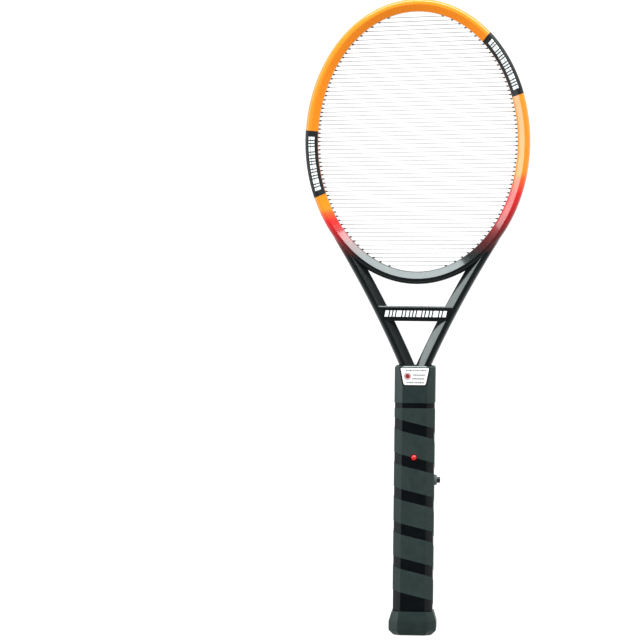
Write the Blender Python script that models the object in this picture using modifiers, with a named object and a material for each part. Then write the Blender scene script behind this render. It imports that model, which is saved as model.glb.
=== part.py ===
"""Electric fly swatter: an oval head with a live wire grid, a V-shaped throat, and a wrapped octagonal
handle that holds two C cells, the high-voltage board and a push button.

The racket lies on its back. In the racket's own frame, x runs across, s along the handle from the butt to
the top of the head, and d towards the front face, with d = 0 on the plane where the halves meet. All sizes
are millimetres there, and the helpers turn them into metres.
"""

import math

import bmesh
import bpy
from mathutils import Matrix, Vector

MM = 0.001
GAP = 0.3                    # clearance between pieces that touch on the real object

# Overall
LENGTH = 550.0
REST_DEPTH = 19.5            # from the parting plane down to the surface it lies on

# Head ring: two ellipses about one centre, the second RING_WIDTH outside the first
HEAD_CENTRE = 426.7
INNER_X, INNER_S = 86.3, 112.3
RING_WIDTH = 11.0
RING_DEPTH = 10.5            # height of the ring's ridge above the parting plane
RING_STEPS = 64
WALL = 2.0

# Wire grid
WIRE_RADIUS = 0.3
WIRE_ROWS = 60
TOP_ROW, BOTTOM_ROW = 534.5, 319.4
TURN_A, TURN_B = 6.6, 4.5    # how far beyond the inner ellipse each wire turns back
DROP_B = 2.0                 # wire B turns this far behind the grid plane
SLIT = 0.55                  # half height of the slit that the wires enter through
FAN = (0.0220, 0.000155)     # the rows' rise to the right at s = 359, and its growth per mm above that

# Throat: each strut's outer edge is one cubic from the handle to the ring
STRUT_FOOT = (14.3, 234.0, 0.44)     # half width, place along, slope
STRUT_HEAD = (76.2, 350.0, 0.627)
STRUT_WIDTH = 13.5           # measured straight across
STRUT_WALL = 2.5
BRIDGE_LOW, BRIDGE_HIGH = 271.6, 284.5
CROTCH = 234.8               # lowest point of the gap between the struts
TANG_HALF, TANG_END = 13.4, 208.0
CHANNEL = (4.5, 10.8)        # the lead channels through the tang

# Handle: an octagon, with a recess that the grip tape is wound in
HANDLE_X, HANDLE_D, CHAMFER = 17.55, 18.0, 6.85
HANDLE_FOOT, HANDLE_TOP = 21.0, 233.0
GROOVE_LOW, GROOVE_HIGH = 196.8, 201.1
TAPE_RECESS = 0.9
HANDLE_WALL = 1.8
LABEL_LOW, LABEL_HIGH = 216.3, 232.0

# Grip tape: a band wound downwards round the octagon
TAPE_THICK = 0.6
TAPE_WIDTH = 20.3
TAPE_PITCH = 29.8
TAPE_FIRST_LOW = 186.2       # lower edge of the first turn at the front facet's left edge
TAPE_TURNS = 5.6             # from the front facet's left edge to the tucked-in end
TAPE_FOOT = 21.6

# Battery cap, or pommel
CAP_X, CAP_D, CAP_CHAMFER = 20.6, 19.5, 7.6
CAP_TOP = 20.6
CAP_SPIGOT_TOP = 24.2
CAP_SPRING_RADIUS, CAP_SPRING_FLOOR = 11.5, 12.0
CAP_SCREW_AT = -11.2         # x and d of the captive screw

# Cells and contacts
CELL_RADIUS, CELL_LENGTH = 13.1, 50.0
CELL_FOOT = 24.6
BULKHEAD = (125.9, 127.9)

# Button and its switch, on the right side facet
BUTTON_AT = 134.0
BUTTON_RADIUS, BUTTON_END = 2.6, 22.55
BEZEL_RADIUS, BEZEL_END = 4.55, 19.75

# Board, lamp and fasteners
LAMP_AT, LAMP_RADIUS = 154.0, 2.5
BOARD = (-12.5, 12.5, 148.0, 197.0, 4.0, 5.6)
HANDLE_SCREWS = {1: (0.0, 221.0), 2: (-7.0, 136.5), 3: (7.0, 144.0), 4: (0.0, 204.0)}
BRIDGE_SCREW_X = 14.5
BOARD_SCREWS = {1: (-8.0, 157.0), 2: (8.0, 192.5)}

PLASTIC = {"roughness": 0.35, "metallic": 0.0}
METAL = {"roughness": 0.3, "metallic": 1.0}
ORANGE = (0.95, 0.32, 0.03)
BLACK = (0.012, 0.013, 0.014)
GREY = (0.12, 0.15, 0.15)
STEEL = (0.6, 0.6, 0.62)
BRASS = (0.75, 0.55, 0.2)
GREEN = (0.03, 0.2, 0.08)


# ---------------------------------------------------------------- helpers

def clear_scene():
    """Remove every object of the scene."""
    for old in list(bpy.data.objects):
        bpy.data.objects.remove(old, do_unlink=True)


def new_collection(name):
    """A collection linked to the scene."""
    collection = bpy.data.collections.new(name)
    bpy.context.scene.collection.children.link(collection)
    return collection


clear_scene()
PARTS = new_collection("electric_fly_swatter")
CUTTERS = new_collection("cutters")
RACKET = bpy.data.objects.new("racket_frame", None)
RACKET.location = Vector((0, -LENGTH / 2, REST_DEPTH)) * MM
PARTS.objects.link(RACKET)


def material(name, colour, roughness, metallic):
    """A plain material in the piece's colour."""
    made = bpy.data.materials.new(name)
    made.use_nodes = True
    shader = made.node_tree.nodes["Principled BSDF"]
    shader.inputs["Base Color"].default_value = (*colour, 1.0)
    shader.inputs["Roughness"].default_value = roughness
    shader.inputs["Metallic"].default_value = metallic
    return made


def mesh_object(name, bm, place=(0, 0, 0)):
    """An object from a bmesh in millimetres, with its origin at place in the racket's frame."""
    for vert in bm.verts:
        vert.co = (vert.co - Vector(place)) * MM
    bmesh.ops.recalc_face_normals(bm, faces=bm.faces)
    mesh = bpy.data.meshes.new(name)
    bm.to_mesh(mesh)
    bm.free()
    obj = bpy.data.objects.new(name, mesh)
    CUTTERS.objects.link(obj)
    obj.parent = RACKET
    obj.location = Vector(place) * MM
    obj.hide_render = True
    obj.display_type = "WIRE"
    return obj


def piece(obj, colour, finish, parent=None):
    """Make a shape one of the object's pieces, with its own material."""
    CUTTERS.objects.unlink(obj)
    PARTS.objects.link(obj)
    obj.hide_render = False
    obj.display_type = "TEXTURED"
    obj.data.materials.clear()
    obj.data.materials.append(material(obj.name, colour, **finish))
    if parent:
        obj.location = obj.location - parent.location
        obj.parent = parent
    return obj


def boolean(obj, tool, operation):
    """Join a shape to obj, or cut it with one."""
    modifier = obj.modifiers.new(tool.name, "BOOLEAN")
    modifier.operation = operation
    modifier.object = tool
    modifier.solver = "EXACT"
    return obj


def cut(obj, *tools):
    """Cut obj with each tool."""
    for tool in tools:
        boolean(obj, tool, "DIFFERENCE")
    return obj


def join(obj, *tools):
    """Join each tool to obj."""
    for tool in tools:
        boolean(obj, tool, "UNION")
    return obj


def box(name, low, high, place=None):
    """A box between two corners."""
    low, high = Vector(low), Vector(high)
    bm = bmesh.new()
    bmesh.ops.create_cube(bm, size=1.0)
    for vert in bm.verts:
        vert.co = Vector(v * (h - l) for v, l, h in zip(vert.co, low, high)) + (low + high) / 2
    return mesh_object(name, bm, place or (low + high) / 2)


def turned(name, axis, centre, profile, sides=20, place=None):
    """A solid turned about an axis through centre, from (distance along, radius) pairs, ends closed."""
    turn = {"x": Matrix.Rotation(math.pi / 2, 3, "Y"), "s": Matrix.Rotation(-math.pi / 2, 3, "X"),
            "d": Matrix.Identity(3)}[axis]
    rings = []
    for along, radius in profile:
        angles = [2 * math.pi * k / sides for k in range(sides)]
        rings.append([turn @ Vector((radius * math.cos(a), radius * math.sin(a), along)) + Vector(centre)
                      for a in angles])
    return loft(name, rings, place or centre)


def loft(name, rings, place=(0, 0, 0), closed=False):
    """A skin over rings of equally many points: capped at both ends, or closed on itself."""
    bm = bmesh.new()
    verts = [[bm.verts.new(point) for point in ring] for ring in rings]
    count = len(rings[0])
    pairs = list(zip(verts, verts[1:]))
    if closed:
        pairs.append((verts[-1], verts[0]))
    for ring, following in pairs:
        for k in range(count):
            bm.faces.new((ring[k], ring[(k + 1) % count], following[(k + 1) % count], following[k]))
    if not closed:
        bm.faces.new(verts[0])
        bm.faces.new(reversed(verts[-1]))
    return mesh_object(name, bm, place)


def from_curve(name, curve, place=(0, 0, 0)):
    """Turn a curve into a mesh object with welded caps."""
    source = bpy.data.objects.new(name + "_curve", curve)
    CUTTERS.objects.link(source)
    evaluated = source.evaluated_get(bpy.context.evaluated_depsgraph_get())
    mesh = bpy.data.meshes.new_from_object(evaluated)
    bm = bmesh.new()
    bm.from_mesh(mesh)
    bmesh.ops.remove_doubles(bm, verts=bm.verts, dist=1e-4)
    bpy.data.objects.remove(source, do_unlink=True)
    bpy.data.meshes.remove(mesh)
    return mesh_object(name, bm, place)


def prism(name, outlines, low, high):
    """Flat outlines in the racket's plane, the first solid and the rest holes, from depth low to high."""
    curve = bpy.data.curves.new(name, "CURVE")
    curve.dimensions = "2D"
    curve.fill_mode = "BOTH"
    curve.extrude = (high - low) / 2
    for outline in outlines:
        spline = curve.splines.new("POLY")
        spline.points.add(len(outline) - 1)
        spline.use_cyclic_u = True
        for point, (x, s) in zip(spline.points, outline):
            point.co = (x, s, 0, 1)
    obj = from_curve(name, curve)
    obj.location.z = (high + low) / 2 * MM
    return obj


def bevel_outer_edges(obj, side, width):
    """Chamfer a prism's rim on its front (side 1) or back (side -1) face."""
    face = side * max(side * vert.co.z for vert in obj.data.vertices)
    weights = obj.data.attributes.new("bevel_weight_edge", "FLOAT", "EDGE")
    border = {}
    for polygon in obj.data.polygons:
        flat = all(abs(obj.data.vertices[k].co.z - face) < 1e-6 for k in polygon.vertices)
        for key in polygon.edge_keys:
            border.setdefault(key, set()).add(flat)
    for edge in obj.data.edges:
        if len(border[edge.key]) == 2:
            weights.data[edge.index].value = 1.0
    bevel = obj.modifiers.new("rim", "BEVEL")
    bevel.width = width * MM
    bevel.segments = 1
    bevel.limit_method = "WEIGHT"


def tube(name, points, radius, place=(0, 0, 0), fineness=2):
    """A wire through points."""
    curve = bpy.data.curves.new(name, "CURVE")
    curve.dimensions = "3D"
    curve.bevel_depth = radius
    curve.bevel_resolution = fineness
    curve.use_fill_caps = True
    spline = curve.splines.new("POLY")
    spline.points.add(len(points) - 1)
    for point, co in zip(spline.points, points):
        point.co = (*co, 1)
    return from_curve(name, curve, place)


def smooth_route(points, steps):
    """Points along a Catmull-Rom curve through hand-chosen ones."""
    points = [Vector(p) for p in points]
    ends = [2 * points[0] - points[1]] + points + [2 * points[-1] - points[-2]]
    route = []
    for a, b, c, d in zip(ends, ends[1:], ends[2:], ends[3:]):
        for k in range(steps):
            t = k / steps
            route.append(0.5 * (2 * b + (c - a) * t + (2 * a - 5 * b + 4 * c - d) * t ** 2
                                + (3 * b - a - 3 * c + d) * t ** 3))
    return route + [points[-1]]


def helix(centre_s, radius, length, turns, axis, steps=10):
    """Points of a coil that starts at centre_s, (x, s, d), with radius (start, end)."""
    points = []
    for k in range(int(turns * steps) + 1):
        t = k / int(turns * steps)
        r = radius[0] + (radius[1] - radius[0]) * t
        across, up = r * math.cos(2 * math.pi * turns * t), r * math.sin(2 * math.pi * turns * t)
        if axis == "s":
            offset = (across, length * t, up)
        else:
            offset = (length * t, across, up)
        points.append(Vector(centre_s) + Vector(offset))
    return points


# ---------------------------------------------------------------- outlines

def ellipse(beyond, angle):
    """A point of the ellipse that lies this far beyond the ring's inner edge."""
    return ((INNER_X + beyond) * math.cos(angle), HEAD_CENTRE + (INNER_S + beyond) * math.sin(angle))


def ellipse_angle(beyond, s):
    """The angle, right of the racket's middle, at which that ellipse passes s."""
    return math.asin((s - HEAD_CENTRE) / (INNER_S + beyond))


def row_end_point(beyond, s, hand):
    """Where a row that crosses the racket's middle at s meets that ellipse, right (1) or left (-1)."""
    rise = FAN[0] + FAN[1] * (s - 359.0)
    wide, tall, up = INNER_X + beyond, INNER_S + beyond, s - HEAD_CENTRE
    a = 1 / wide ** 2 + rise ** 2 / tall ** 2
    b = rise * up / tall ** 2
    c = up ** 2 / tall ** 2 - 1
    x = (-b + hand * math.sqrt(b * b - a * c)) / a
    return x, s + rise * x


def strut_edge(s):
    """Half width of the throat's outer edge at s."""
    (x0, s0, slope0), (x1, s1, slope1) = STRUT_FOOT, STRUT_HEAD
    span = s1 - s0
    t = (s - s0) / span
    return ((2 * t ** 3 - 3 * t ** 2 + 1) * x0 + (t ** 3 - 2 * t ** 2 + t) * span * slope0
            + (3 * t ** 2 - 2 * t ** 3) * x1 + (t ** 3 - t ** 2) * span * slope1)


def mirrored(points):
    """The points followed by their mirror images, in reverse."""
    return points + [(-x, s) for x, s in reversed(points)]


def spread(low, high, count):
    """Evenly spaced values from low to high."""
    return [low + (high - low) * k / (count - 1) for k in range(count)]


def throat_outline():
    """Tang, struts and bridge, up to the middle of the ring's outer wall."""
    merge = RING_WIDTH - 1.0
    outer = [(strut_edge(s), s) for s in spread(STRUT_FOOT[1], STRUT_HEAD[1] - 4, 9)]
    low_corner = 315.5
    arc = [ellipse(merge, ellipse_angle(merge, s)) for s in spread(344.0, low_corner + 1.5, 6)]
    inner = [(strut_edge(s) - STRUT_WIDTH, s) for s in spread(low_corner - 2.5, BRIDGE_HIGH, 4)]
    return mirrored([(TANG_HALF, TANG_END), (TANG_HALF, STRUT_FOOT[1] - 1.5)] + outer + arc + inner)


def crotch_outline():
    """The gap between the struts, below the bridge."""
    return mirrored([(strut_edge(s) - STRUT_WIDTH, s) for s in spread(CROTCH, BRIDGE_LOW, 6)])


def strut_hollow():
    """The inside of the right strut, which opens at the tang's end."""
    outer = [(strut_edge(s) - STRUT_WALL, s) for s in spread(319.0, 240.0, 7)]
    inner = [(strut_edge(s) - STRUT_WIDTH + STRUT_WALL, s) for s in spread(240.0, 313.5, 7)]
    low = TANG_END - 1
    return outer + [(CHANNEL[1], 228.0), (CHANNEL[1], low), (CHANNEL[0], low), (CHANNEL[0], 232.0)] + inner


def octagon(half_x, half_d, chamfer, s):
    """Eight corners of the handle's section, from the front facet's left edge clockwise seen from above."""
    quarter = [(half_x - chamfer, half_d), (half_x, half_d - chamfer)]
    right = quarter + [(x, -d) for x, d in reversed(quarter)]
    left = [(-x, d) for x, d in reversed(right)]
    return [(x, s, d) for x, d in [left[-1]] + right + left[:-1]]


def handle_section(inset, s):
    """The handle's octagon with every facet moved in by inset."""
    return octagon(HANDLE_X - inset, HANDLE_D - inset, CHAMFER - inset * (2 - math.sqrt(2)), s)


# ---------------------------------------------------------------- head and throat

def ring_shell(name, side):
    """One half of the hollow ring: a U-shaped section swept round the ellipse."""
    outside = [(0.0, SLIT), (0.0, 5.3), (6.2, RING_DEPTH), (9.0, 9.85), (10.5, 8.1), (RING_WIDTH, 5.5),
               (RING_WIDTH, GAP / 2)]
    cavity = [(RING_WIDTH - WALL, GAP / 2), (RING_WIDTH - WALL, 6.2), (7.2, 8.2), (5.9, 8.2), (1.9, 4.9),
              (1.9, SLIT)]
    section = outside + cavity
    rings = []
    for k in range(RING_STEPS):
        angle = 2 * math.pi * k / RING_STEPS
        rings.append([(*ellipse(beyond, angle), side * depth) for beyond, depth in section])
    return loft(name, rings, closed=True)


def frame_shell(name, side):
    """Half of the head's frame: ring, struts, bridge and the tang that the handle clamps."""
    shell = ring_shell(name, side)
    depths = sorted((side * (GAP / 2 + 0.04), side * (RING_DEPTH - 0.05)))
    throat = prism(name + "_throat", [throat_outline(), crotch_outline()], *depths)
    bevel_outer_edges(throat, side, 1.6)
    join(shell, throat)
    for hand in (1, -1):
        hollow = [(hand * x, s) for x, s in strut_hollow()]
        cut(shell, prism(f"{name}_hollow_{hand}", [hollow], *sorted((-side * 1.0, side * 8.4))))
    for hand, depth in ((-1, 0.0), (1, -4.0)):
        cut(shell, turned(f"{name}_lead_hole_{hand}", "s", (hand * 48.0, 308.0, depth),
                          [(0, 1.9), (15.0, 1.9)], 10))
    return shell


def head_frame():
    """Both halves of the frame, with the screws that hold them together at the bridge."""
    front = frame_shell("frame_front_shell", 1)
    rear = frame_shell("frame_rear_shell", -1)
    middle = (BRIDGE_LOW + BRIDGE_HIGH) / 2
    for label, x in (("left", -BRIDGE_SCREW_X), ("right", BRIDGE_SCREW_X)):
        well = [(-12, 2.9), (-7.1, 2.9), (-7.1, 1.4), (1, 1.4)]
        cut(rear, turned(f"bridge_hole_{label}", "d", (x, middle, 0), well, 16))
        cut(front, turned(f"bridge_thread_{label}", "d", (x, middle, 0), [(-1, 1.4), (6.5, 1.4)], 12))
        screw(f"bridge_screw_{label}", x, middle, -7.4, 5.8)
    tang_x, tang_s = HANDLE_SCREWS[1]
    for shell in (front, rear):
        cut(shell, turned(f"tang_hole_{shell.name}", "d", (tang_x, tang_s, 0), [(-12, 3.6), (12, 3.6)], 16))
    recess = box("badge_recess", (-30, BRIDGE_LOW + 1.2, RING_DEPTH - 0.8),
                 (30, BRIDGE_HIGH - 1.2, RING_DEPTH + 1))
    cut(front, recess)
    piece(front, ORANGE, PLASTIC)
    piece(rear, BLACK, PLASTIC)
    badge = box("bridge_badge", (-29.7, BRIDGE_LOW + 1.5, RING_DEPTH - 0.5),
                (29.7, BRIDGE_HIGH - 1.5, RING_DEPTH - 0.1))
    piece(badge, BLACK, {"roughness": 0.15, "metallic": 0.0})


def screw(name, x, s, head_base, tip):
    """A pan-head screw driven in from the back, with a plain cross recess."""
    made = turned(name, "d", (x, s, 0), [(head_base - 1.8, 1.9), (head_base - 1.2, 2.5), (head_base, 2.6),
                                         (head_base, 1.1), (tip - 1.0, 1.1), (tip, 0.4)], 14)
    half = 0.35
    for turn, (wide, tall) in enumerate(((1.5, half), (half, 1.5))):
        low, high = (x - wide, s - tall, head_base - 3.0), (x + wide, s + tall, head_base - 1.0)
        cut(made, box(f"{name}_slot_{turn}", low, high))
    return piece(made, STEEL, METAL)


def wire_grid():
    """Two bare wires that run to and fro across the head, row about with each other."""
    pitch = (TOP_ROW - BOTTOM_ROW) / (WIRE_ROWS - 1)
    for label, first, start, beyond in (("a", 0, -1, TURN_A), ("b", 1, 1, TURN_B)):
        points = []
        hand = start
        for row in range(first, WIRE_ROWS, 2):
            s = TOP_ROW - row * pitch
            for end in (hand, -hand):
                turn = row_end_point(beyond, s, end)
                if label == "a":
                    points.append((*turn, 0.0))
                    continue
                level = (*row_end_point(2.7, s, end), 0.0)
                lowered = (*row_end_point(3.7, s, end), -DROP_B)
                back = (*turn, -DROP_B)
                points += [back, lowered, level] if end == hand else [level, lowered, back]
            hand = -hand
        piece(tube(f"grid_wire_{label}", points, WIRE_RADIUS, fineness=1), STEEL, METAL)


def leads():
    """The two insulated high-voltage leads, from the board through the struts to the grid."""
    routes = {
        "a": [(-6.5, 198.0, 2.4), (-7.6, 204.0, 0.6), (-7.7, 216.0, 0), (-7.7, 230.0, 0), (-11.0, 244.0, 0),
              (-21.5, 263.0, 0), (-34.5, 289.0, 0), (-45.6, 308.5, 0), (-48.0, 314.5, 0), (-48.0, 320.6, 0)],
        "b": [(6.5, 198.0, 2.4), (7.6, 204.0, 0.2), (7.7, 216.0, -2.0), (7.7, 230.0, -4), (11.0, 244.0, -4),
              (21.5, 263.0, -4), (34.5, 289.0, -4), (45.6, 308.5, -4), (48.0, 314.5, -4), (48.0, 320.6, -4),
              (45.8, 322.6, -4.0), (42.0, 321.5, -3.4), (37.3, 319.4, -2.2)],
    }
    for label, route in routes.items():
        piece(tube(f"hv_lead_{label}", smooth_route(route, 2), 0.8), (0.5, 0.02, 0.02), PLASTIC)


# ---------------------------------------------------------------- handle

def handle_shell(name, side):
    """Half of the octagonal handle, recessed where the tape is wound and closed round the tang."""
    recessed = TAPE_RECESS
    steps = [(recessed, HANDLE_FOOT), (recessed, GROOVE_HIGH), (0.0, GROOVE_HIGH), (0.0, HANDLE_TOP - 1.2),
             (1.0, HANDLE_TOP)]
    shell = loft(name, [handle_section(inset, s) for inset, s in steps])
    hollow_inset = recessed + HANDLE_WALL
    hollow = loft(name + "_hollow", [handle_section(hollow_inset, s) for s in (HANDLE_FOOT - 1, 229.0)])
    cut(shell, hollow)
    collar = box(name + "_collar", (-14.8, 225.0, -RING_DEPTH - GAP), (14.8, HANDLE_TOP + 2, RING_DEPTH + GAP))
    cut(shell, collar)
    for number, (x, s) in HANDLE_SCREWS.items():
        if side > 0:
            post = [(GAP, 2.9), (HANDLE_D - 2.0, 2.9)]
            bore = [(-1, 1.4), (9.0, 1.4)]
        else:
            post = [(-HANDLE_D + 2.0, 3.9), (-10.9, 3.9), (-10.8, 2.9), (-GAP, 2.9)]
            bore = [(-HANDLE_D - 1, 2.9), (-12.0, 2.9), (-12.0, 1.4), (1, 1.4)]
        join(shell, turned(f"{name}_post_{number}", "d", (x, s, 0), post, 14))
        cut(shell, turned(f"{name}_bore_{number}", "d", (x, s, 0), bore, 14))
    away = sorted((side * GAP / 2, -side * 30.0))
    cut(shell, box(name + "_other_half", (-30, 0, away[0]), (30, 260, away[1])))
    cut(shell, turned(name + "_button_hole", "x", (0, BUTTON_AT, 0), [(10, 3.9), (20, 3.9)], 20))
    return shell


def handle():
    """Front and rear shells, their screws, the tape and the label plate."""
    front = handle_shell("handle_front_shell", 1)
    join(front, prism("label_pad", [label_outline(-0.6)], HANDLE_D - 3.1, HANDLE_D))
    rear = handle_shell("handle_rear_shell", -1)
    cut(front, turned("lamp_hole", "d", (0, LAMP_AT, 0), [(10, LAMP_RADIUS + GAP), (20, LAMP_RADIUS + GAP)], 20))
    for number, (x, s) in BOARD_SCREWS.items():
        join(front, turned(f"board_post_{number}", "d", (x, s, 0), [(BOARD[5] + GAP, 2.4), (15.8, 2.4)], 12))
        cut(front, turned(f"board_thread_{number}", "d", (x, s, 0), [(BOARD[5], 1.0), (12.5, 1.0)], 10))
    corner = (CAP_SCREW_AT, 0, CAP_SCREW_AT)
    join(rear, turned("cap_post", "s", corner, [(HANDLE_FOOT, 2.7), (38.0, 2.7)], 14))
    cut(rear, turned("cap_thread", "s", corner, [(HANDLE_FOOT - 2, 1.35), (36.0, 1.35)], 12))
    label = label_outline(0.0)
    cut(front, prism("label_recess", [label], HANDLE_D - 0.5, HANDLE_D + 1))
    piece(front, GREY, {"roughness": 0.45, "metallic": 0.0})
    piece(rear, GREY, {"roughness": 0.45, "metallic": 0.0})
    plate = prism("label_plate", [label_outline(GAP)], HANDLE_D - 0.2, HANDLE_D + 0.2)
    piece(plate, (0.85, 0.85, 0.85), PLASTIC)
    for number, (x, s) in HANDLE_SCREWS.items():
        screw(f"handle_screw_{number}", x, s, -12.3, 8.2)


def label_outline(inset):
    """The trapezoid label below the handle's top edge, with rounded lower corners."""
    low, high = LABEL_LOW + inset, LABEL_HIGH - inset
    top, foot, corner = 12.9 - inset, 9.9 - inset, 2.0
    arc = [(foot - corner + corner * math.cos(a), low + corner + corner * math.sin(a))
           for a in spread(0, -math.pi / 2, 4)]
    return mirrored([(top, high)] + arc)


def tape():
    """The grip tape: one band wound down round the handle's facets."""
    inner = [Vector(p) for p in handle_section(TAPE_RECESS - 0.15, 0)]
    outer = [Vector(p) for p in handle_section(TAPE_RECESS - 0.15 - TAPE_THICK, 0)]
    edges = [(inner[(k + 1) % 8] - inner[k]).length for k in range(8)]
    around = sum(edges)
    slope = TAPE_PITCH / around
    top = GROOVE_LOW - 0.2
    start = (TAPE_FIRST_LOW - top + 0.4) / slope
    end = TAPE_TURNS * around

    def on_facets(ring, u):
        """Where the section is, this far round it from the front facet's left edge."""
        u %= around
        for k in range(8):
            if u <= edges[k] or k == 7:
                return ring[k].lerp(ring[(k + 1) % 8], min(u / edges[k], 1.0))
            u -= edges[k]

    corners = [0.0]
    for edge in edges[:-1]:
        corners.append(corners[-1] + edge)
    stations = {start, end, start + TAPE_WIDTH / slope}
    foot_reached = (TAPE_FIRST_LOW - TAPE_FOOT) / slope
    stations.add(foot_reached)
    for turn in range(-1, int(TAPE_TURNS) + 2):
        stations.update(u for u in (corner + turn * around for corner in corners) if start < u < end)
    rings = []
    for u in sorted(stations):
        low = TAPE_FIRST_LOW - slope * u
        high = min(top, low + TAPE_WIDTH)
        low = max(low, TAPE_FOOT)
        a, b = on_facets(inner, u), on_facets(outer, u)
        rings.append([(a.x, low, a.z), (a.x, high, a.z), (b.x, high, b.z), (b.x, low, b.z)])
    band = loft("grip_tape", rings)
    button_hole, lamp_hole = BEZEL_RADIUS + GAP, LAMP_RADIUS + 0.4
    cut(band, turned("tape_button_hole", "x", (0, BUTTON_AT, 0), [(12, button_hole), (20, button_hole)], 20))
    cut(band, turned("tape_lamp_hole", "d", (0, LAMP_AT, 0), [(12, lamp_hole), (20, lamp_hole)], 20))
    piece(band, GREY, {"roughness": 0.8, "metallic": 0.0})


# ---------------------------------------------------------------- battery end

def battery_cap():
    """The flared pommel that closes the battery tube, with its captive screw and the negative spring."""
    steps = [(0.0, 4.6), (1.0, 3.2), (4.2, 0.0), (13.5, 0.0), (CAP_TOP, 2.6)]
    rings = [octagon(CAP_X - inset, CAP_D - inset * 0.6, CAP_CHAMFER - inset * 0.5, s) for s, inset in steps]
    carrier = bpy.data.objects.new("battery_cap_axis", None)
    carrier.parent = RACKET
    PARTS.objects.link(carrier)
    cap = loft("battery_cap", rings)
    spigot_inset = TAPE_RECESS + HANDLE_WALL + GAP
    spigot = loft("cap_spigot", [handle_section(spigot_inset, s) for s in (15.0, CAP_SPIGOT_TOP)])
    corner = (CAP_SCREW_AT, 0, CAP_SCREW_AT)
    cut(spigot, turned("spigot_notch", "s", corner, [(CAP_TOP, 3.05), (30, 3.05)], 14))
    join(cap, spigot)
    well = [(CAP_SPRING_FLOOR, CAP_SPRING_RADIUS), (30, CAP_SPRING_RADIUS)]
    cut(cap, turned("spring_well", "s", (0, 0, 0), well, 24))
    cut(cap, turned("cap_bore", "s", corner, [(-1, 2.75), (6.8, 2.75), (6.8, 1.35), (26, 1.35)], 16))
    piece(cap, BLACK, PLASTIC, carrier)
    axis = bpy.data.objects.new("cap_screw_axis", None)
    axis.parent = RACKET
    axis.location = Vector(corner) * MM
    PARTS.objects.link(axis)
    profile = [(4.4, 1.8), (5.0, 2.3), (6.5, 2.4), (6.5, 1.0), (32.0, 1.0), (33.0, 0.4)]
    head = turned("cap_screw", "s", corner, profile, 14)
    low, high = (CAP_SCREW_AT - 0.35, 3.0, CAP_SCREW_AT - 3), (CAP_SCREW_AT + 0.35, 5.2, CAP_SCREW_AT + 3)
    cut(head, box("cap_screw_slot", low, high))
    piece(head, STEEL, METAL, axis)
    coil = helix((0, CAP_SPRING_FLOOR + 0.8, 0), (9.5, 5.0), 11.1, 3.5, "s")
    piece(tube("negative_spring", coil, 0.4), STEEL, METAL, carrier)


def cells():
    """Two C cells end to end, the plate and bulkhead above them and the strip beside them."""
    for number, name in enumerate(("battery_lower", "battery_upper")):
        foot = CELL_FOOT + number * (CELL_LENGTH + GAP)
        profile = [(0, CELL_RADIUS - 0.4), (0.4, CELL_RADIUS), (47.6, CELL_RADIUS), (48.2, 12.3), (48.2, 3.4),
                   (CELL_LENGTH, 3.2)]
        piece(turned(name, "s", (0, foot, 0), profile, 28), (0.1, 0.25, 0.3), METAL)
    low, high = BULKHEAD
    bulkhead = loft("battery_bulkhead", [octagon(13.6, 15.0, 5.6, s) for s in (low, high)])
    piece(bulkhead, BLACK, PLASTIC)
    piece(box("positive_contact", (-6, low - 0.7, -6), (6, low - 0.3, 6)), BRASS, METAL)
    piece(box("contact_strip", (-14.6, HANDLE_FOOT + 4, -2), (-14.2, 146.0, 2)), BRASS, METAL)


# ---------------------------------------------------------------- switch

def switch():
    """The push button on the right side, its bezel, housing, return spring and contact."""
    centre = (0, BUTTON_AT, 0)
    housing = box("switch_housing", (4.0, BUTTON_AT - 5.4, -5.4), (13.6, BUTTON_AT + 5.4, 5.4))
    join(housing, turned("switch_bush", "x", centre, [(13.0, 3.6), (18.6, 3.6)], 20))
    bore = [(5.0, 4.3), (12.4, 4.3), (12.4, 2.9), (20.0, 2.9)]
    cut(housing, turned("switch_bore", "x", centre, bore, 20))
    piece(housing, BLACK, PLASTIC)
    rim = [(HANDLE_X - TAPE_RECESS + GAP, BEZEL_RADIUS), (18.6, BEZEL_RADIUS), (BEZEL_END, 4.1)]
    bezel = turned("switch_bezel", "x", centre, rim, 24)
    cut(bezel, turned("bezel_bore", "x", centre, [(15, 3.9), (18.9, 3.9), (18.9, 3.0), (21, 3.0)], 20))
    piece(bezel, GREY, PLASTIC)
    axis = bpy.data.objects.new("push_button_axis", None)
    axis.parent = RACKET
    axis.location = Vector(centre) * MM
    PARTS.objects.link(axis)
    plunger = [(8.6, 1.3), (10.6, 1.3), (10.6, 3.6), (12.1, 3.6), (12.1, BUTTON_RADIUS),
               (BUTTON_END - 0.6, BUTTON_RADIUS), (BUTTON_END, 2.1)]
    button = turned("push_button", "x", centre, plunger, 20)
    piece(button, BLACK, PLASTIC, axis)
    coil = helix((5.5, BUTTON_AT, 0), (2.5, 2.5), 4.6, 3.0, "x", 9)
    piece(tube("switch_spring", coil, 0.2, fineness=1), STEEL, METAL)
    piece(turned("switch_contact", "x", centre, [(5.25, 1.8), (5.6, 1.8)], 12), BRASS, METAL)


# ---------------------------------------------------------------- electronics

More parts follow.
